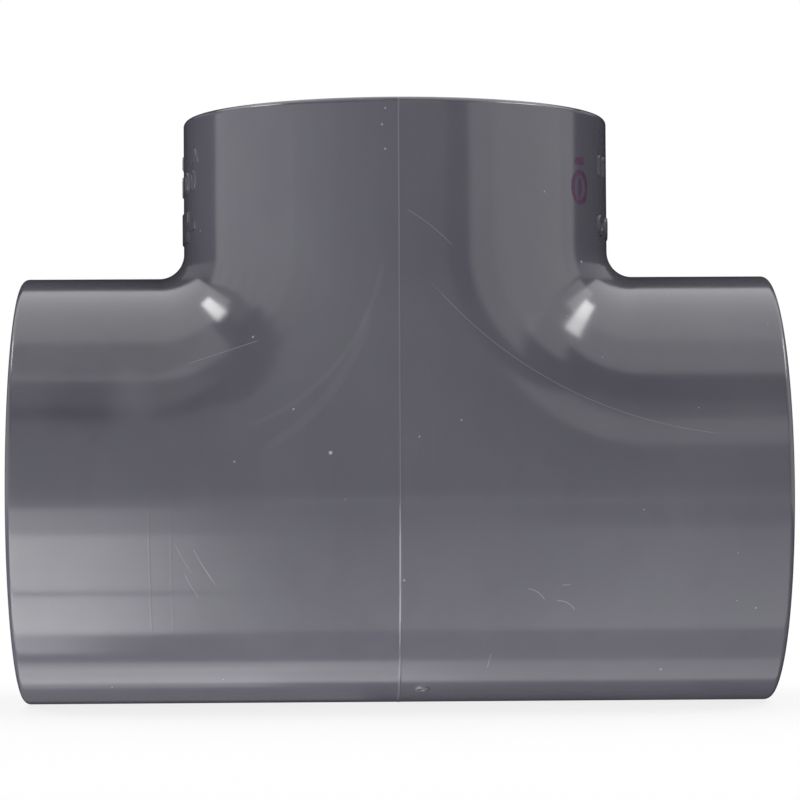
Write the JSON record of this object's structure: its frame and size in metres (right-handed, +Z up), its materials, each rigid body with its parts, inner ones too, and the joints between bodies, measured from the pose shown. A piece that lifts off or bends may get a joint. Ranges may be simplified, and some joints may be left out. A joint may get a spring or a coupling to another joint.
{
  "type": "pipe tee",
  "caption": "Grey rigid PVC tee with plain solvent-cement sockets on the run and on the branch.",
  "frame": {"origin": "centre of the base: the point under the crossing of the run and branch axes, on the plane that the run rests on", "axes": "+X along the run, +Z up the branch and out of its mouth, +Y towards the back"},
  "size_m": [0.1906, 0.109, 0.1493],
  "materials": {
    "grey_pvc": "moulded rigid PVC, satin, slightly violet dark grey, fine handling scratches",
    "violet_ink": "thin dry marking ink, violet, patchy"
  },
  "bodies": {
    "root": {"tee_body": "grey_pvc", "inspection_ink_mark": "violet_ink"}
  },
  "joints": []
}
